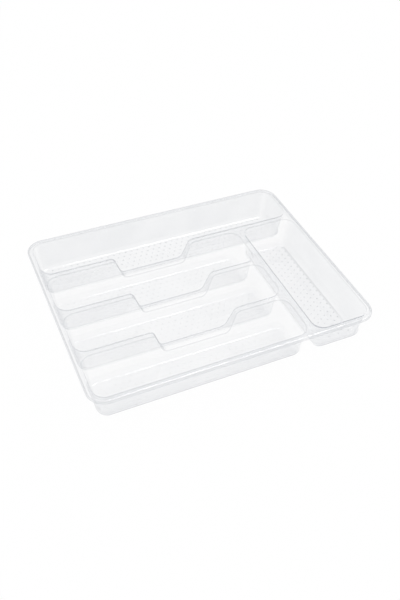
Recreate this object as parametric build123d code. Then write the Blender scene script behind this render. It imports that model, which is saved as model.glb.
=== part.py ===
from math import radians, tan
import os

from build123d import *

# A clear moulded cutlery tray: one full-width bin at the back, three bins in rows in front
# of it on the left, and one long bin on the right. The origin is the middle of the base,
# +X is the tray's right-hand end, +Y its back and +Z up. Millimetres and degrees.
# The tray is one moulding. Its portions are separate solids here that meet face to face:
# five drafted bins, the crowns that close the four hollow dividers, and the rim.

# Overall size
tray_length = 390.0
tray_depth = 306.0
tray_height = 45.0

# Moulding
wall = 1.8
floor_thickness = 1.8
crown_thickness = 1.8
end_draft = 8.0
side_draft = 5.0
mouth_edge_radius = 0.8

# Rim
rim_width = 7.5
rim_thickness = 1.8
rim_skirt = 5.0
rim_edge_radius = 2.4

# Bins and dividers, measured at the top
bin_corner_radius = 16.0
foot_corner_radius = 12.0
floor_fillet = 8.0
divider_width = 8.0
side_divider_width = 9.0
side_bin_width = 82.0
row_count = 4

# Finger notches in the three long dividers
notch_centre_x = -31.5
notch_width = 114.0
notch_depth = 31.5
notch_side_angle = 70.0
notch_bend_radius = 8.5

# How far a cut runs past what it cuts
overrun = 1.0

# Places that follow from the sizes above
inner_right = tray_length / 2 - rim_width
inner_left = -inner_right
inner_back = tray_depth / 2 - rim_width
inner_front = -inner_back
row_depth = (inner_back - inner_front - (row_count - 1) * divider_width) / row_count
row_pitch = row_depth + divider_width
side_bin_left = inner_right - side_bin_width
row_right = side_bin_left - side_divider_width
web_reach = bin_corner_radius + wall


def row_back(row):
    """The back edge of a row's mouth, with rows counted from the back."""
    return inner_back - row * row_pitch


def row_front(row):
    return row_back(row) - row_depth


def divider_middle(row):
    """The middle line of the divider in front of a row."""
    return row_front(row) - divider_width / 2


# Left, right, front and back of each bin's mouth
bins = {
    "back_bin": (inner_left, inner_right, row_front(0), row_back(0)),
    "second_row_bin": (inner_left, row_right, row_front(1), row_back(1)),
    "third_row_bin": (inner_left, row_right, row_front(2), row_back(2)),
    "front_row_bin": (inner_left, row_right, row_front(3), row_back(3)),
    "side_bin": (side_bin_left, inner_right, inner_front, row_front(0) - divider_width),
}

# The row behind each notched divider, and the divider's right-hand end
dividers = {
    "back_divider": (0, inner_right),
    "middle_divider": (1, row_right),
    "front_divider": (2, row_right),
}


def rounded_face(left, right, front, back, radius, height):
    middle = Location(((left + right) / 2, (front + back) / 2, height))
    return middle * RectangleRounded(right - left, back - front, radius)


def box_between(left, right, front, back, bottom, top):
    middle = Location(((left + right) / 2, (front + back) / 2, (bottom + top) / 2))
    return middle * Box(right - left, back - front, top - bottom)


def drafted_block(mouth, grow, foot_height):
    """The space of a bin, grown by its wall or by nothing, down to its rounded foot."""
    left, right, front, back = mouth
    drop = tray_height - foot_height
    end_inset = drop * tan(radians(end_draft)) - grow
    side_inset = drop * tan(radians(side_draft)) - grow
    top = rounded_face(left - grow, right + grow, front - grow, back + grow,
                       bin_corner_radius + grow, tray_height)
    foot = rounded_face(left + end_inset, right - end_inset, front + side_inset, back - side_inset,
                        foot_corner_radius + grow, foot_height)
    block = loft([foot, top], ruled=True)
    foot_edges = block.faces().sort_by(Axis.Z)[0].edges()
    return fillet(foot_edges, floor_fillet + grow)


def bin_outside(mouth):
    return drafted_block(mouth, wall, 0)


def bin_hollow(mouth):
    return drafted_block(mouth, 0, floor_thickness)


def divider_line(drop):
    """The top line of a notched divider from end to end, lowered by a thickness."""
    high = tray_height - drop
    low = high - notch_depth
    half_top = notch_width / 2
    half_low = half_top - notch_depth / tan(radians(notch_side_angle))
    # The lowered line also stays its thickness away from the sloping sides
    shift = drop * tan(radians(notch_side_angle) / 2)
    points = [
        (inner_left - web_reach, high),
        (notch_centre_x - half_top - shift, high),
        (notch_centre_x - half_low - shift, low),
        (notch_centre_x + half_low + shift, low),
        (notch_centre_x + half_top + shift, high),
        (inner_right + web_reach, high),
    ]
    outer_bend = notch_bend_radius - drop
    inner_bend = notch_bend_radius + drop
    return FilletPolyline(*points, radius=[outer_bend, inner_bend, inner_bend, outer_bend])


def wall_between(lower, upper, middle, reach):
    """The solid between two lines of the XZ plane, reaching both ways from a middle line."""
    ends = [Line(lower @ 0, upper @ 0), Line(lower @ 1, upper @ 1)]
    outline = Wire([*lower.edges(), *upper.edges(), *ends])
    solid = extrude(Plane.XZ * make_face(outline), 2 * reach, dir=(0, 1, 0))
    return Pos(Y=middle - reach) * solid


def notch_cut(row):
    """The space over one divider's notch, past both of its drafted walls."""
    lid_height = tray_height + overrun
    lid = Line((inner_left - web_reach, lid_height), (inner_right + web_reach, lid_height))
    reach = divider_width / 2 + wall + notch_depth * tan(radians(side_draft)) + overrun
    return wall_between(divider_line(0), lid, divider_middle(row), reach)


def borders_mouth(edge, mouth):
    """True for an edge of the mouth, and not for one of the wall's outer face."""
    left, right, front, back = mouth
    margin = wall / 2
    box = edge.bounding_box()
    inside_x = box.min.X > left - margin and box.max.X < right + margin
    inside_y = box.min.Y > front - margin and box.max.Y < back + margin
    return inside_x and inside_y


def make_bin(mouth):
    notches = [notch_cut(row) for row, _ in dividers.values()]
    shell = bin_outside(mouth) - bin_hollow(mouth) - notches
    top_edges = shell.edges().group_by(Axis.Z)[-1]
    mouth_edges = top_edges.filter_by(lambda edge: borders_mouth(edge, mouth))
    # The rounding runs on from the top edges down into the notches
    return fillet(mouth_edges, mouth_edge_radius)


def divider_span(row, right):
    """The block that holds one long divider's crown, with the webs at its ends."""
    middle = divider_middle(row)
    reach = divider_width / 2 + web_reach
    return box_between(inner_left, right, middle - reach, middle + reach, 0, tray_height)


def side_divider_span():
    back = row_front(0) - divider_width - web_reach
    return box_between(row_right - web_reach, side_bin_left + web_reach, inner_front, back,
                       0, tray_height)


def make_divider(row, right, outsides):
    """The crown of a hollow divider, which follows the notch down and up again."""
    reach = divider_width / 2 + web_reach
    sheet = wall_between(divider_line(crown_thickness), divider_line(0), divider_middle(row), reach)
    return (sheet & divider_span(row, right)) - outsides


def make_side_divider(outsides):
    crown = side_divider_span() - Pos(Z=-crown_thickness) * side_divider_span()
    for row, right in dividers.values():
        crown = crown - divider_span(row, right)
    return crown - outsides


def make_rim(outsides):
    """The lip round the tray, with its rounded edge and short skirt."""
    half_length = tray_length / 2
    half_depth = tray_depth / 2
    corner = bin_corner_radius + rim_width
    skirt_foot = tray_height - rim_skirt
    lip = extrude(rounded_face(-half_length, half_length, -half_depth, half_depth, corner, skirt_foot),
                  rim_skirt)
    lip = fillet(lip.faces().sort_by(Axis.Z)[-1].edges(), rim_edge_radius)
    under = rounded_face(wall - half_length, half_length - wall, wall - half_depth, half_depth - wall,
                         corner - wall, skirt_foot - overrun)
    lip = lip - extrude(under, rim_skirt + overrun - rim_thickness)
    for row, right in dividers.values():
        lip = lip - divider_span(row, right)
    return lip - side_divider_span() - outsides


def main():
    outsides = [bin_outside(mouth) for mouth in bins.values()]
    pieces = {name: make_bin(mouth) for name, mouth in bins.items()}
    for name, (row, right) in dividers.items():
        pieces[name] = make_divider(row, right, outsides)
    pieces["side_divider"] = make_side_divider(outsides)
    pieces["rim"] = make_rim(outsides)
    os.makedirs("parts", exist_ok=True)
    for name, piece in pieces.items():
        export_step(piece, f"parts/{name}.step")


main()
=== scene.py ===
import math

import bpy
import bmesh
from mathutils import Matrix, Vector, geometry


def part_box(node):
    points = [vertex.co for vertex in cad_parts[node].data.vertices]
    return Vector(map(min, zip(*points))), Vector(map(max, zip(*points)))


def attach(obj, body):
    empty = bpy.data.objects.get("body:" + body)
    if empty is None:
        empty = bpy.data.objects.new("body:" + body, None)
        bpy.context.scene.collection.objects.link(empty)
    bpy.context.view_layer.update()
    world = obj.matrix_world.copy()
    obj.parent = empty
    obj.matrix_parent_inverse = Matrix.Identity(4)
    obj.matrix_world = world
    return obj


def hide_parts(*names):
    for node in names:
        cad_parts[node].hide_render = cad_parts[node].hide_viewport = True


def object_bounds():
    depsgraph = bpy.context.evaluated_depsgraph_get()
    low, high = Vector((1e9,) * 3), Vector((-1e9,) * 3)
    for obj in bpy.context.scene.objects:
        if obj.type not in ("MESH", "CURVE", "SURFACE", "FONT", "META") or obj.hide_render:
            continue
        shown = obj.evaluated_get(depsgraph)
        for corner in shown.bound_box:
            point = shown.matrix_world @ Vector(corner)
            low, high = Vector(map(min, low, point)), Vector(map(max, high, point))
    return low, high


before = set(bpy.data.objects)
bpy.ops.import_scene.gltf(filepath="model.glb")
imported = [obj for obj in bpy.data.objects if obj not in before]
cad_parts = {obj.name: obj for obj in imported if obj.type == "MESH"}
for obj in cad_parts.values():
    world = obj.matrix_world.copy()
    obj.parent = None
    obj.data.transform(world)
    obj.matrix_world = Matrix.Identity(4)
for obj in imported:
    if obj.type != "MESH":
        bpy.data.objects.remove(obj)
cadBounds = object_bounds()
scene = bpy.context.scene
print("frame loaded:", ", ".join(sorted(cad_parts)))


# Node trees

class Socket:
    # A socket that can be used in plain sums, each of which adds its Math node
    def __init__(self, tree, link):
        self.tree = tree
        self.link = link

    def math(self, operation, other=0.0, swapped=False):
        values = [other, self] if swapped else [self, other]
        return self.tree.add("ShaderNodeMath", {"operation": operation}, dict(enumerate(values)))

    def __add__(self, other):
        return self.math("ADD", other)

    def __radd__(self, other):
        return self.math("ADD", other, True)

    def __sub__(self, other):
        return self.math("SUBTRACT", other)

    def __rsub__(self, other):
        return self.math("SUBTRACT", other, True)

    def __mul__(self, other):
        return self.math("MULTIPLY", other)

    def __rmul__(self, other):
        return self.math("MULTIPLY", other, True)

    def __truediv__(self, other):
        return self.math("DIVIDE", other)

    def __rtruediv__(self, other):
        return self.math("DIVIDE", other, True)


class Tree:
    def __init__(self, nodeTree):
        self.nodeTree = nodeTree
        nodeTree.nodes.clear()

    def add(self, kind, settings=None, inputs=None, output=0):
        # A node with its settings and inputs; gives one of its outputs, if it has any
        node = self.nodeTree.nodes.new(kind)
        for name, value in (settings or {}).items():
            if name == "ramp":
                for stop, (place, colour) in zip(node.color_ramp.elements, value):
                    stop.position = place
                    stop.color = colour
            else:
                setattr(node, name, value)
        for key, value in (inputs or {}).items():
            if isinstance(value, Socket):
                self.nodeTree.links.new(value.link, node.inputs[key])
            else:
                node.inputs[key].default_value = value
        return Socket(self, node.outputs[output]) if node.outputs else None

    def also(self, socket, output):
        # Another output of the node that a socket belongs to
        return Socket(self, socket.link.node.outputs[output])

    def noise(self, place, scale, detail):
        return self.add("ShaderNodeTexNoise", None, {"Vector": place, "Scale": scale, "Detail": detail})

    def mixColours(self, share, first, second):
        return self.add("ShaderNodeMix", {"data_type": "RGBA"}, {0: share, 6: first, 7: second}, 2)

    def mixShaders(self, share, first, second):
        return self.add("ShaderNodeMixShader", None, {0: share, 1: first, 2: second})


def blend(first, second, share):
    # Between two numbers or sockets
    return first + (second - first) * share


def newMaterial(name):
    material = bpy.data.materials.new(name)
    material.use_nodes = True
    return material, Tree(material.node_tree)


# The clear plastic

# What each point of a piece is marked with: how hazy it is, how much painted shade its lip has
# when seen from inside the sheet, how far it is drawn as a rounded edge, how much painted shade it
# has as a line, and how far it has a painted highlight
markNames = ["haze", "lip", "rounding", "line", "paintedGleam"]


def marks(haze, lip=0.0, rounding=0.0, line=0.0, paintedGleam=0.0):
    return haze, lip, rounding, line, paintedGleam


plastic = {
    "white": (1.0, 1.0, 1.0, 1.0),
    "paleGrey": (0.95, 0.955, 0.965, 1.0),
    "coolGrey": (0.84, 0.86, 0.90, 1.0),
    "lineGrey": (0.50, 0.51, 0.53, 1.0),     # painted shade at mouths and on the rim, and roundings seen along
    "throughDark": (0.22, 0.26, 0.32, 1.0),  # what the darkest places let through
    # patterns, each with its patches per metre and its levels of detail
    "cloud": (16.0, 2.0),        # in the colour
    "patches": (18.0, 1.0),      # in how clear it is
    "ripple": (30.0, 1.0),       # flow marks in the surface
    "scuff": (700.0, 3.0),       # in the roughness
    "mottle": 0.3,               # how much the patches differ
    "rippleDepth": 0.00003,
    "scuffRoughness": 0.04,
    # how far each place goes to the dark tint
    "faceTint": 0.105,
    "behindShare": 0.15,         # how much of that is left from inside the sheet
    "edgeTint": 0.24,
    "lipPaintedShadeTint": 0.4,
    "lineTint": 0.18,
    # roundings darken between these, 0 for one that faces the eye and 1 for one seen along
    "edgeStart": 0.25,
    "edgeEnd": 0.95,
    # how milky it is
    "faceBody": 0.14,
    "lineBody": 0.2,
    # how much it mirrors from outside; from inside the sheet it mirrors nothing
    "faceShine": 0.05,
    "edgeShine": 0.3,
    "paintedGleamShine": 0.2,           # mirror share along the painted highlight lines
    "shineFalloff": 5.0,
    "shineGain": 1.7,            # a hazier skin mirrors more, up to the whole share
    "ior": 1.57,
    "roughness": 0.05,
    "roundingRoughness": 0.15,
}


def makeClearPlastic():
    material, tree = newMaterial("clearPlastic")
    place = tree.add("ShaderNodeTexCoord", output="Object")
    cloud, patches, ripple, scuff = (
        tree.noise(place, *plastic[name]) for name in ("cloud", "patches", "ripple", "scuff"))
    bump = tree.add("ShaderNodeBump", None, {
        "Height": ripple, "Strength": 1.0, "Distance": plastic["rippleDepth"],
    })
    haze, lip, rounding, line, paintedGleam = (
        tree.add("ShaderNodeAttribute", {"attribute_name": name}, output="Fac") for name in markNames)
    fromBehind = tree.add("ShaderNodeNewGeometry", output="Backfacing")
    facing = tree.add("ShaderNodeLayerWeight", None, {"Blend": 0.5}, "Facing")
    along = tree.add("ShaderNodeMapRange", {"interpolation_type": "SMOOTHSTEP"},
                     {0: facing, 1: plastic["edgeStart"], 2: plastic["edgeEnd"]})
    edge = along * rounding
    # painted shade on a lip seen from inside the sheet
    paintedLipShade = lip * fromBehind
    outline = edge.math("MAXIMUM", paintedLipShade).math("MAXIMUM", line)
    uneven = haze * (patches * (2 * plastic["mottle"]) + (1 - plastic["mottle"]))

    tint = uneven * (1.0 - fromBehind * (1 - plastic["behindShare"])) * plastic["faceTint"]
    tint = blend(tint, plastic["edgeTint"], edge)
    tint = blend(tint, plastic["lipPaintedShadeTint"], paintedLipShade)
    # painted shade greys the lines; a painted highlight takes the tint off, so that its line is paler
    tint = blend(tint, plastic["lineTint"], line) * (1.0 - paintedGleam)
    milky = blend(uneven * (1.0 - fromBehind) * plastic["faceBody"], plastic["lineBody"], outline)
    colour = tree.mixColours(cloud, plastic["paleGrey"], plastic["coolGrey"])
    colour = tree.mixColours(outline, colour, plastic["lineGrey"])
    roughness = scuff * plastic["scuffRoughness"] + (plastic["roughness"] - plastic["scuffRoughness"] / 2)
    roughness = roughness + rounding * plastic["roundingRoughness"]
    grazing = facing.math("POWER", plastic["shineFalloff"])
    mirrored = blend(plastic["faceShine"], plastic["edgeShine"], grazing)
    mirrored = mirrored * (haze * plastic["shineGain"]).math("MINIMUM", 1.0)
    # a painted highlight also raises the mirror share
    mirrored = blend(mirrored, plastic["paintedGleamShine"], paintedGleam) * (1.0 - fromBehind)

    body = tree.add("ShaderNodeBsdfPrincipled", None, {
        "Base Color": colour, "Roughness": roughness, "IOR": plastic["ior"], "Normal": bump,
    })
    clear = tree.add("ShaderNodeBsdfTransparent", None, {"Color": plastic["white"]})
    dark = tree.add("ShaderNodeBsdfTransparent", None, {"Color": plastic["throughDark"]})
    shine = tree.add("ShaderNodeBsdfGlossy", None, {
        "Color": plastic["white"], "Roughness": roughness, "Normal": bump,
    })
    sheet = tree.mixShaders(milky, tree.mixShaders(tint, clear, dark), body)
    tree.add("ShaderNodeOutputMaterial", None, {"Surface": tree.mixShaders(mirrored, sheet, shine)})
    return material


clearPlastic = makeClearPlastic()


# The moulding, one sheet of plastic with an upper and an under skin

moulding = {
    # metres and degrees
    "wall": 0.0018,
    "floorThickness": 0.0018,
    "crownThickness": 0.0018,
    "endDraft": 8.0,
    "sideDraft": 5.0,
    "mouthRadius": 0.0008,       # rounded edge between a land and a wall
    "hollowRadius": 0.0005,      # the same inside a hollow divider
    "cornerRadius": 0.016,
    "footCornerRadius": 0.012,
    "floorFillet": 0.008,
    "floorBorder": 0.0025,
    "rimWidth": 0.0075,
    "rimSkirt": 0.005,
    "rimEdgeRadius": 0.0024,
    "skirtFootRadius": 0.0006,
    "notchCentre": -0.0315,
    "notchWidth": 0.114,
    "notchDepth": 0.0315,
    "notchSideAngle": 70.0,
    "notchBend": 0.0085,
    # how finely it is divided
    "cornerSteps": 14,
    "bendSteps": 9,
    "filletSteps": 10,
    "edgeSteps": 4,
    "wallSteps": 4,
    "sideStep": 0.02,
    "weldDistance": 1e-7,
    # where the marks lie
    "lipDepth": 0.0015,          # the lip's painted shade runs this far down the wall
    "lipFade": 0.00255,          # and is gone here
    "outsideReach": 0.008,       # a wall this near the rim is still partly an outside wall
    "baseSpan": (0.3, 0.7),      # painted shade at the front wall's foot, between these shares of the fillet
    "toeFrom": 0.85,             # painted shade at the side bin's toe, past this share of the fillet
    "toeFacing": 0.9,            # where the way out of the bin is at least this far to the right
    "toeFade": (0.025, 0.075),   # from nothing to full over these distances from the tray's front
    "binFloorPaintedShade": {"side_bin": 1.3},    # painted shade: how much hazier, and so darker, a bin's floor is
    "binPaintedLipShade": {"side_bin": 2.6},     # and how much darker its lip's painted shade is
    # painted shade on the rim's land, by the way that it faces
    "landPaintedShade": {(0, 1): 0.8, (1, 0): 0.8, (0, -1): 0.12},
    "frontPaintedShadeLoss": 0.75,          # how much of the rim's painted shade the front side loses, so that it is painted paler
    "frontPaintedGleam": {1: 1.0, 2: 1.0, 3: 0.6},    # painted highlight along the front rim's edge, by the section's points
    # the rim's arcs from the land's edge outwards: first and last angle, steps, and painted shade at each
    # end
    "rimArcs": {
        "top": (90, 80, 1, 0.0, 0.8),
        "shoulder": (70, 40, 3, 0.9, 0.6),
        "side": (30, 0, 3, 0.15, 0.05),
        "foot": (0, -90, 4, 0.05, 0.3),
        "inside": (-90, -180, 4, 0.2, 0.0),
        "hollow": (0, 90, 4, 0.0, 0.0),
    },
    # the marks of the two skins
    "upper": {
        "haze": 0.42,
        "floorHaze": 0.85,
        "outsideHaze": 1.2,
        "binOutside": {"side_bin": 0.85},    # how much of that a bin has
        # painted shade on the mouths: on the lip seen from inside the sheet, and along the mouth's
        # rounding
        "lip": 0.6,
        "mouthPaintedShade": 0.7,
        "rounding": 1.0,
        "fold": 0.3,             # how far the fillets are drawn as rounded edges, inside
        "outsideFold": 0.3,      # and on an outside wall
        "basePaintedShade": 0.0,         # painted shade on the front wall's foot
        "toePaintedShade": 1.2,          # and on the side bin's toe
        "footPaintedGleam": {8: 0.5, 9: 1.0},    # painted highlight along the back wall's foot, by the fillet's points
    },
    "under": {
        "haze": 0.06,
        "floorHaze": 0.06,
        "outsideHaze": 0.55,
        "binOutside": {"side_bin": 0.2},
        "lip": 0.0,
        "mouthPaintedShade": 0.0,
        "rounding": 0.2,
        "fold": 0.2,
        "outsideFold": 1.0,
        "basePaintedShade": 0.8,
        "toePaintedShade": 0.0,
        "footPaintedGleam": {},
    },
}

binNames = ["back_bin", "second_row_bin", "third_row_bin", "front_row_bin", "side_bin"]
notchedSides = {
    "back_bin": {"front"},
    "second_row_bin": {"back", "front"},
    "third_row_bin": {"back", "front"},
    "front_row_bin": {"back"},
    "side_bin": set(),
}
sideDirections = {"front": (0, -1), "right": (1, 0), "back": (0, 1), "left": (-1, 0)}
up = Vector((0.0, 0.0, 1.0))
trayLow, trayHigh = Vector(cadBounds[0]), Vector(cadBounds[1])
trayTop = trayHigh.z


def binMouth(name):
    # Left, right, front and back of a bin's mouth, inside its walls
    low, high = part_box(name)
    wall = moulding["wall"]
    return low.x + wall, high.x - wall, low.y + wall, high.y - wall


def draftInsets(drop):
    # How far a bin's ends and its long sides come in over a drop
    return [drop * math.tan(math.radians(moulding[draft])) for draft in ("endDraft", "sideDraft")]


def notchLine(lowered):
    # The notch's top line as (x, z, normal), from left to right, lowered by a thickness
    angle = math.radians(moulding["notchSideAngle"])
    high = trayTop - lowered
    low = high - moulding["notchDepth"]
    shift = lowered * math.tan(angle / 2)
    topHalf = moulding["notchWidth"] / 2 + shift
    lowHalf = topHalf - moulding["notchDepth"] / math.tan(angle)
    outer = moulding["notchBend"] - lowered
    inner = moulding["notchBend"] + lowered
    outerCentre = topHalf + outer * math.tan(angle / 2), high - outer
    innerCentre = lowHalf - inner * math.tan(angle / 2), low + inner
    turns = [angle * step / moulding["bendSteps"] for step in range(moulding["bendSteps"] + 1)]
    half = [(outerCentre[0] - outer * math.sin(turn), outerCentre[1] + outer * math.cos(turn), turn)
            for turn in turns]
    half += [(innerCentre[0] + inner * math.sin(turn), innerCentre[1] - inner * math.cos(turn), turn)
             for turn in reversed(turns)]
    centre = moulding["notchCentre"]
    left = [(centre - away, height, Vector((math.sin(turn), 0, math.cos(turn))))
            for away, height, turn in half]
    right = [(centre + away, height, Vector((-math.sin(turn), 0, math.cos(turn))))
             for away, height, turn in reversed(half)]
    return left + right


def spread(start, end):
    # Places between two ends, about a side step apart
    count = max(1, round(abs(end - start) / moulding["sideStep"]))
    return [start + (end - start) * step / count for step in range(1, count)]


def sidePlaces(start, end, notched, lowered):
    # Places along a side as (place, z, normal); start and end lie at the corners and aren't in it
    level = trayTop - lowered
    if not notched:
        return [(place, level, up) for place in spread(start, end)]
    notch = notchLine(lowered)
    if start > end:
        notch.reverse()
    firstHalf, lastHalf = notch[:len(notch) // 2], notch[len(notch) // 2:]
    before = [(place, level, up) for place in spread(start, firstHalf[0][0])]
    middle = [(place, lastHalf[0][1], up) for place in spread(firstHalf[-1][0], lastHalf[0][0])]
    after = [(place, level, up) for place in spread(lastHalf[-1][0], end)]
    return before + firstHalf + middle + lastHalf + after


def cornerTurn(startAngle):
    # The ways that a corner's points face, over a quarter turn
    angles = [math.radians(startAngle + 90 * step / moulding["cornerSteps"])
              for step in range(moulding["cornerSteps"] + 1)]
    return [Vector((math.cos(angle), math.sin(angle))) for angle in angles]


def binOutline(name, skin):
    # Points round a bin as (top, foot, outward, height, normal of the land)
    left, right, front, back = binMouth(name)
    endInset, sideInset = draftInsets(trayTop - skin["foot"])
    topRadius = moulding["cornerRadius"]
    footRadius = moulding["footCornerRadius"]
    grow = skin["grow"]
    level = trayTop - skin["lowered"]
    # each corner with the side that follows it
    corners = [(left, front, 180, "front"), (right, front, 270, "right"),
               (right, back, 0, "back"), (left, back, 90, "left")]
    points = []
    for index, (x, y, startAngle, side) in enumerate(corners):
        signX = 1 if x == left else -1
        signY = 1 if y == front else -1
        topCentre = Vector((x + signX * topRadius, y + signY * topRadius))
        footCentre = Vector((x + signX * (endInset + footRadius), y + signY * (sideInset + footRadius)))
        for outward in cornerTurn(startAngle):
            top = topCentre + outward * (topRadius + grow)
            foot = footCentre + outward * (footRadius + grow)
            points.append((top, foot, outward, level, up))
        nextX, nextY, _, _ = corners[(index + 1) % 4]
        outward = Vector(sideDirections[side])
        lengthwise = side in ("front", "back")
        start, end = (x, nextX) if lengthwise else (y, nextY)
        inset, endsInset = (sideInset, endInset) if lengthwise else (endInset, sideInset)
        margin = math.copysign(topRadius + endsInset, end - start)
        notched = side in notchedSides[name]
        for place, height, normal in sidePlaces(start + margin, end - margin, notched, skin["lowered"]):
            top = Vector((place, y) if lengthwise else (x, place)) + outward * grow
            points.append((top, top - outward * inset, outward, height, normal))
    return points


def roundedEdge(corner, first, second, radius, steps, sign):
    # An arc between two faces with these normals; the sign is 1 at an edge and -1 in a hollow
    centre = corner - sign * (first + second) * radius / (1 + first.dot(second))
    return [centre + sign * radius * first.slerp(second, step / steps) for step in range(steps + 1)]


def clamped(share):
    return min(max(share, 0.0), 1.0)


def filletPaintedShade(name, skin, share, foot, outward, outside):
    # How much painted shade a point of a fillet has: the side bin's toe, or the foot of the front wall
    lowest, highest = moulding["baseSpan"]
    if lowest < share < highest:
        return skin["basePaintedShade"] * outside * max(0.0, -outward.y)
    if name == "side_bin" and outward.x > moulding["toeFacing"] and share > moulding["toeFrom"]:
        start, full = moulding["toeFade"]
        return skin["toePaintedShade"] * clamped((foot.y - trayLow.y - start) / (full - start))
    return 0.0


def binColumns(name, skin):
    # Columns of points with their marks, from a mouth's edge down to the floor
    columns = []
    drop = trayTop - skin["foot"]
    # the side bin's floor is painted darker with more haze
    floorHaze = skin["floorHaze"] * moulding["binFloorPaintedShade"].get(name, 1.0)
    outsideHaze = skin["outsideHaze"] * skin["binOutside"].get(name, 1.0)
    # the lip's painted shade, darker in the side bin
    dark = skin["lip"] * moulding["binPaintedLipShade"].get(name, 1.0)
    for top, foot, outward, height, landNormal in binOutline(name, skin):
        inset = (top - foot).dot(outward)
        wallNormal = Vector((-outward.x * drop, -outward.y * drop, inset)).normalized()
        edge = top + (foot - top) * (trayTop - height) / drop
        lip = roundedEdge(Vector((edge.x, edge.y, height)), landNormal, wallNormal,
                          skin["lipRadius"], moulding["edgeSteps"], 1)
        fillet = roundedEdge(Vector((foot.x, foot.y, skin["foot"])), wallNormal, up,
                             skin["filletRadius"], moulding["filletSteps"], -1)
        down = (fillet[0] - lip[-1]).normalized()
        lipEnd = lip[-1] + down * moulding["lipFade"]
        inward = min(trayHigh.x - abs(top.x), trayHigh.y - abs(top.y))
        outside = clamped(1 - (inward - moulding["rimWidth"]) / moulding["outsideReach"])
        side = blend(skin["haze"], outsideHaze, outside)
        fold = blend(skin["fold"], skin["outsideFold"], outside)

        column = [(point, marks(side, dark, skin["rounding"], skin["mouthPaintedShade"] if step else 0.0))
                  for step, point in enumerate(lip)]
        column.append((lip[-1] + down * moulding["lipDepth"], marks(side, dark)))
        column += [(lipEnd.lerp(fillet[0], step / moulding["wallSteps"]), marks(side))
                   for step in range(moulding["wallSteps"])]
        for step, point in enumerate(fillet):
            share = step / moulding["filletSteps"]
            rounding = 0.0 if share in (0, 1) else fold
            # painted shade on the side bin's toe and the front wall's foot
            line = filletPaintedShade(name, skin, share, foot, outward, outside)
            # painted highlight along the foot of the back walls
            paintedGleam = skin["footPaintedGleam"].get(step, 0.0) * outside * max(0.0, outward.y)
            column.append((point, marks(blend(side, floorHaze, share), 0.0, rounding, line, paintedGleam)))
        border = fillet[-1].xy - outward * moulding["floorBorder"]
        column.append((Vector((*border, skin["foot"])), marks(floorHaze)))
        columns.append(column)
    return columns


def rimSection():
    # The rim's section as (inset, height, haze, painted shade), over the lip and down to the skirt's
    # inside
    edge = moulding["rimEdgeRadius"]
    foot = moulding["skirtFootRadius"]
    wall = moulding["wall"]
    hollow = moulding["hollowRadius"]
    edgeZ = trayTop - edge
    footZ = trayTop - moulding["rimSkirt"] + foot
    hollowZ = trayTop - moulding["crownThickness"] - hollow
    underHaze = moulding["under"]["haze"]
    # each arc's centre, radius and haze
    arcs = {
        "top": (edge, edgeZ, edge, 1.0),
        "shoulder": (edge, edgeZ, edge, 1.0),
        "side": (edge, edgeZ, edge, 1.0),
        "foot": (foot, footZ, foot, 1.0),
        "inside": (wall - foot, footZ, foot, underHaze),
        "hollow": (wall + hollow, hollowZ, hollow, underHaze),
    }
    section = []
    for name, (inset, centreZ, radius, haze) in arcs.items():
        start, end, steps, firstPaintedShade, lastPaintedShade = moulding["rimArcs"][name]
        for step in range(steps + 1):
            angle = math.radians(blend(start, end, step / steps))
            section.append((inset - radius * math.cos(angle), centreZ + radius * math.sin(angle),
                            haze, blend(firstPaintedShade, lastPaintedShade, step / steps)))
    return section


def rimColumns():
    section = rimSection()
    corner = moulding["cornerRadius"] + moulding["rimWidth"]
    low = trayLow.xy + Vector((corner, corner))
    high = trayHigh.xy - Vector((corner, corner))
    centres = [(Vector((low.x, low.y)), 180), (Vector((high.x, low.y)), 270),
               (Vector((high.x, high.y)), 0), (Vector((low.x, high.y)), 90)]
    ends = []
    for index, (centre, startAngle) in enumerate(centres):
        turn = cornerTurn(startAngle)
        ends += [(centre, outward) for outward in turn]
        nextCentre = centres[(index + 1) % 4][0]
        count = round((nextCentre - centre).length / moulding["sideStep"])
        ends += [(centre.lerp(nextCentre, step / count), turn[-1]) for step in range(1, count)]
    columns = []
    for middle, outward in ends:
        column = []
        front = max(0.0, -outward.y)
        # painted shade on the land, by the way that the rim faces
        paintedLandShade = max(share * outward.dot(Vector(side)) for side, share in moulding["landPaintedShade"].items())
        for step, (inset, height, haze, line) in enumerate(section):
            place = middle + outward * (corner - inset)
            # painted highlight along the front side of the rim, where it loses its painted shade
            paintedGleam = front * moulding["frontPaintedGleam"].get(step, 0.0)
            line = line * (1 - moulding["frontPaintedShadeLoss"] * front) * (1 - paintedGleam) if step else paintedLandShade
            rounding = 1.0 if step else 0.0
            column.append((Vector((*place, height)), marks(haze, 0.0, rounding, line, paintedGleam)))
        columns.append(column)
    return columns


def newBuilder():
    # An empty mesh with a layer for each mark
    builder = bmesh.new()
    return builder, [builder.verts.layers.float.new(name) for name in markNames]


def setMarks(vert, layers, values):
    for layer, value in zip(layers, values):
        vert[layer] = value


def addRings(builder, layers, columns):
    # Quads between neighbouring columns of points that go once round
    grid = []
    for column in columns:
        grid.append([])
        for point, values in column:
            vert = builder.verts.new(point)
            setMarks(vert, layers, values)
            grid[-1].append(vert)
    for index, column in enumerate(grid):
        following = grid[(index + 1) % len(grid)]
        for level in range(len(column) - 1):
            builder.faces.new((column[level], following[level], following[level + 1], column[level + 1]))
    return grid


def insideOutline(point, outline):
    inside = False
    previous = outline[-1]
    for corner in outline:
        if (corner.y > point.y) != (previous.y > point.y):
            across = (previous.x - corner.x) * (point.y - corner.y) / (previous.y - corner.y) + corner.x
            if point.x < across:
                inside = not inside
        previous = corner
    return inside


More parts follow.
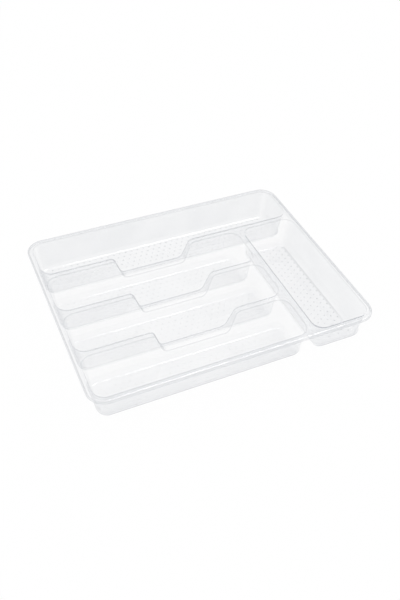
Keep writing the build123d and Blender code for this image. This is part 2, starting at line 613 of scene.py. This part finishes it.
def fillLand(builder, outer, holes):
    # The land between the rim and the bins' mouths, as triangles between their edge points
    verts = [vert for loop in [outer, *holes] for vert in loop]
    edges = []
    start = 0
    for loop in [outer, *holes]:
        edges += [(start + index, start + (index + 1) % len(loop)) for index in range(len(loop))]
        start += len(loop)
    flat = [vert.co.xy for vert in verts]
    weld = moulding["weldDistance"]
    places, _, faces, sources, _, _ = geometry.delaunay_2d_cdt(flat, edges, [], 1, weld)
    outlines = [[vert.co.xy for vert in loop] for loop in holes]
    for face in faces:
        middle = sum((places[index] for index in face), Vector((0.0, 0.0))) / len(face)
        if not any(insideOutline(middle, outline) for outline in outlines):
            builder.faces.new([verts[sources[index][0]] for index in face])


def finishPiece(name, builder):
    for face in builder.faces:
        face.smooth = True
    mesh = bpy.data.meshes.new(name)
    builder.to_mesh(mesh)
    builder.free()
    mesh.materials.append(clearPlastic)
    piece = bpy.data.objects.new(name, mesh)
    scene.collection.objects.link(piece)
    return piece


def makeMoulding():
    upper = {
        **moulding["upper"],
        "grow": 0.0,
        "foot": moulding["floorThickness"],
        "lowered": 0.0,
        "lipRadius": moulding["mouthRadius"],
        "filletRadius": moulding["floorFillet"],
    }
    under = {
        **moulding["under"],
        "grow": moulding["wall"],
        "foot": 0.0,
        "lowered": moulding["crownThickness"],
        "lipRadius": moulding["hollowRadius"],
        "filletRadius": moulding["floorFillet"] + moulding["wall"],
    }
    builder, layers = newBuilder()
    rim = addRings(builder, layers, rimColumns())
    for skin, rimEnd in ((upper, 0), (under, -1)):
        mouths = []
        for name in binNames:
            grid = addRings(builder, layers, binColumns(name, skin))
            mouths.append([column[0] for column in grid])
            builder.faces.new([column[-1] for column in grid])
        fillLand(builder, [column[rimEnd] for column in rim], mouths)
    bmesh.ops.recalc_face_normals(builder, faces=builder.faces)
    piece = finishPiece("trayMoulding", builder)
    weighted = piece.modifiers.new("flatFacesFirst", "WEIGHTED_NORMAL")
    weighted.mode = "FACE_AREA"
    return piece


# The raised dots on the floors

grain = {
    # metres
    "pitch": 0.00925,
    "rowPitch": 0.0078,
    "dotRadius": 0.0011,
    "dotHeight": 0.00045,
    "margin": 0.0016,            # from the outermost dot's middle to the floor's fillet
    "segments": 12,
    "rings": 4,
    "haze": 0.12,
    "rounding": 0.2,
    # painted shade on the dots, at a floor's front or left and at its back or right
    "line": {"back_bin": (0.13, 0.33), "second_row_bin": (0.0, 0.1), "third_row_bin": (0.0, 0.08),
             "front_row_bin": (0.0, 0.0), "side_bin": (0.03, 0.45)},
    "shifted": {"side_bin": (0.002, 0.0023)},    # how far a bin's dots lie off its middle
}


def flatFloor(name):
    # The flat part of a bin's floor: left, right, front and back
    left, right, front, back = binMouth(name)
    insets = draftInsets(trayTop - moulding["floorThickness"])
    for index, draft in enumerate(("endDraft", "sideDraft")):
        slope = math.pi / 2 - math.radians(moulding[draft])
        insets[index] += moulding["floorFillet"] * math.tan(slope / 2)
    return left + insets[0], right - insets[0], front + insets[1], back - insets[1]


def makeDotTree():
    # Rows of low domes, every other row moved by half a pitch
    group = bpy.data.node_groups.new("floorGrain", "GeometryNodeTree")
    sizes = {"Columns": 9.0, "Rows": 5.0, "Pitch": grain["pitch"], "Row Pitch": grain["rowPitch"],
             "Dot Radius": grain["dotRadius"], "Dot Height": grain["dotHeight"], "Turn": 0.0}
    for name, value in sizes.items():
        size = group.interface.new_socket(name, in_out="INPUT", socket_type="NodeSocketFloat")
        size.default_value = value
    group.interface.new_socket("Centre", in_out="INPUT", socket_type="NodeSocketVector")
    group.interface.new_socket("Dots", in_out="OUTPUT", socket_type="NodeSocketGeometry")
    tree = Tree(group)
    given = tree.add("NodeGroupInput")
    columns, rows, pitch, rowPitch, radius, height, turn = (tree.also(given, name) for name in sizes)
    field = tree.add("GeometryNodeMeshGrid", None, {
        "Size X": (columns - 1.0) * pitch, "Size Y": (rows - 1.0) * rowPitch,
        "Vertices X": columns, "Vertices Y": rows,
    })
    row = tree.add("GeometryNodeInputIndex").math("MODULO", rows)
    aside = (row.math("MODULO", 2.0) - 0.5) * pitch * 0.5
    offset = tree.add("ShaderNodeCombineXYZ", None, {0: aside})
    staggered = tree.add("GeometryNodeSetPosition", None, {"Geometry": field, "Offset": offset})
    ball = tree.add("GeometryNodeMeshUVSphere", None, {
        "Segments": grain["segments"], "Rings": grain["rings"], "Radius": radius,
    })
    flatness = tree.add("ShaderNodeCombineXYZ", None, {0: 1.0, 1: 1.0, 2: height / radius})
    dome = tree.add("GeometryNodeTransform", None, {"Geometry": ball, "Scale": flatness})
    placed = tree.add("GeometryNodeInstanceOnPoints", None, {"Points": staggered, "Instance": dome})
    rotation = tree.add("ShaderNodeCombineXYZ", None, {2: turn})
    moved = tree.add("GeometryNodeTransform", None, {
        "Geometry": placed, "Translation": tree.also(given, "Centre"), "Rotation": rotation,
    })
    real = tree.add("GeometryNodeRealizeInstances", None, {0: moved})
    dressed = tree.add("GeometryNodeSetMaterial", None, {"Geometry": real, "Material": clearPlastic})
    tree.add("NodeGroupOutput", None, {0: dressed})
    return group


def makeDots(group, name):
    # One floor's dots as a plain mesh, with their columns along the floor's longer side
    left, right, front, back = flatFloor(name)
    shift = grain["shifted"].get(name, (0.0, 0.0))
    turned = back - front > right - left
    length, depth = (back - front, right - left) if turned else (right - left, back - front)
    length, depth = length - 2 * grain["margin"], depth - 2 * grain["margin"]
    values = {
        "Columns": 2.0 * math.floor((length - grain["pitch"] / 2) / grain["pitch"] / 2) + 1.0,
        "Rows": math.floor(depth / grain["rowPitch"]) + 1.0,
        "Turn": math.pi / 2 if turned else 0.0,
        "Centre": ((left + right) / 2 + shift[0], (front + back) / 2 + shift[1],
                   moulding["floorThickness"]),
    }
    holder = bpy.data.objects.new("dotField", bpy.data.meshes.new("dotField"))
    scene.collection.objects.link(holder)
    field = holder.modifiers.new("dots", "NODES")
    field.node_group = group
    for entry in group.interface.items_tree:
        if entry.in_out == "INPUT" and entry.name in values:
            field[entry.identifier] = values[entry.name]
    made = holder.evaluated_get(bpy.context.evaluated_depsgraph_get())
    mesh = bpy.data.meshes.new_from_object(made)
    bpy.data.objects.remove(holder)
    return mesh


def makeGrain():
    group = makeDotTree()
    builder, layers = newBuilder()
    for name in binNames:
        known = len(builder.verts)
        builder.from_mesh(makeDots(group, name))
        builder.verts.ensure_lookup_table()
        left, right, front, back = flatFloor(name)
        for vert in builder.verts[known:]:
            across = (vert.co.y - front) / (back - front)
            if name == "side_bin":
                across = (vert.co.x - left) / (right - left)
            # painted shade on the dots, greyer towards a floor's back or right
            line = blend(*grain["line"][name], across)
            setMarks(vert, layers, marks(grain["haze"], 0.0, grain["rounding"], line))
    return finishPiece("floorGrain", builder)


tray = makeMoulding()
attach(tray, "root")
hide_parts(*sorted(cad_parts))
print("moulding made:", len(tray.data.polygons), "faces")

floorGrain = makeGrain()
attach(floorGrain, "root")
print("floor grain made:", len(floorGrain.data.polygons), "faces")


# Floor, light and camera

stage = {
    "floorHalf": 4.0,
    "floorDrop": 0.0002,
    "floorColour": (0.98, 0.98, 0.98, 1.0),
    "white": (1.0, 1.0, 1.0, 1.0),
    "whiteShare": 0.95,                      # how far the floor is drawn plain white
    "horizon": (0.82, 0.83, 0.85, 1.0),      # the room as the plastic mirrors it
    "zenith": (0.95, 0.95, 0.96, 1.0),
    "light": (1.0, 1.0, 1.0, 1.0),           # and as it lights things
}
softbox = {
    "place": (1.0, 1.16, 2.6),
    "size": (1.4, 0.4),
    "watts": 19.0,
}


def makeFloor():
    half = stage["floorHalf"]
    mesh = bpy.data.meshes.new("studioFloor")
    corners = [(-half, -half), (half, -half), (half, half), (-half, half)]
    mesh.from_pydata([(x, y, -stage["floorDrop"]) for x, y in corners], [], [(0, 1, 2, 3)])
    floor = bpy.data.objects.new("studioFloor", mesh)
    scene.collection.objects.link(floor)
    material, tree = newMaterial("studioWhite")
    direct = tree.add("ShaderNodeLightPath", output="Is Camera Ray")
    glossy = tree.also(direct, "Is Glossy Ray")
    through = tree.also(direct, "Is Transmission Ray")
    seen = direct.math("MAXIMUM", glossy).math("MAXIMUM", through)
    paint = tree.add("ShaderNodeBsdfDiffuse", None, {"Color": stage["floorColour"]})
    white = tree.add("ShaderNodeEmission", None, {"Color": stage["white"], "Strength": 1.0})
    surface = tree.mixShaders(seen * stage["whiteShare"], paint, white)
    tree.add("ShaderNodeOutputMaterial", None, {"Surface": surface})
    mesh.materials.append(material)


def makeWorld():
    world = bpy.data.worlds.new("studio")
    world.use_nodes = True
    scene.world = world
    tree = Tree(world.node_tree)
    direction = tree.add("ShaderNodeTexCoord", output="Generated")
    height = tree.add("ShaderNodeSeparateXYZ", None, {"Vector": direction}, "Z")
    room = tree.add("ShaderNodeValToRGB", {"ramp": [(0.0, stage["horizon"]), (1.0, stage["zenith"])]},
                    {"Fac": height})
    mirrored = tree.add("ShaderNodeLightPath", output="Is Glossy Ray")
    colour = tree.mixColours(mirrored, stage["light"], room)
    light = tree.add("ShaderNodeBackground", None, {"Color": colour, "Strength": 1.0})
    tree.add("ShaderNodeOutputWorld", None, {"Surface": light})


def makeSoftbox():
    # A long lamp behind the tray, turned to it; the room lights the plastic, this only gleams in it
    light = bpy.data.lights.new("softbox", "AREA")
    light.shape = "RECTANGLE"
    light.size, light.size_y = softbox["size"]
    light.energy = softbox["watts"]
    lamp = bpy.data.objects.new("softbox", light)
    scene.collection.objects.link(lamp)
    lamp.visible_diffuse = False
    back = Vector(softbox["place"]).normalized()
    across = back.cross(Vector((1.0, 0.0, 0.0))).normalized()
    axes = Matrix((across.cross(back), across, back)).transposed()
    lamp.matrix_world = Matrix.Translation(softbox["place"]) @ axes.to_4x4()


view = {
    # degrees and metres
    "azimuth": -26.56,
    "elevation": 44.36,
    "roll": 3.43,
    "distance": 0.93907,
    "target": (0.00038, -0.01872, 0.020),
    "focalPixels": 690.34,
    "framePixels": 600,
}


def makeCamera():
    turn = math.radians(view["azimuth"])
    rise = math.radians(view["elevation"])
    roll = math.radians(view["roll"])
    back = Vector((math.sin(turn) * math.cos(rise), -math.cos(turn) * math.cos(rise), math.sin(rise)))
    right = up.cross(back).normalized()
    above = back.cross(right)
    camera = bpy.data.cameras.new("camera")
    camera.lens = view["focalPixels"] / view["framePixels"] * camera.sensor_width
    holder = bpy.data.objects.new("camera", camera)
    scene.collection.objects.link(holder)
    place = Vector(view["target"]) + back * view["distance"]
    axes = Matrix((right * math.cos(roll) + above * math.sin(roll),
                   above * math.cos(roll) - right * math.sin(roll), back)).transposed()
    holder.matrix_world = Matrix.Translation(place) @ axes.to_4x4()
    scene.camera = holder


makeFloor()
makeWorld()
makeSoftbox()
makeCamera()
scene.view_settings.view_transform = "Standard"
scene.cycles.transparent_max_bounces = 48    # the clear walls lie many deep
print("stage and camera set")
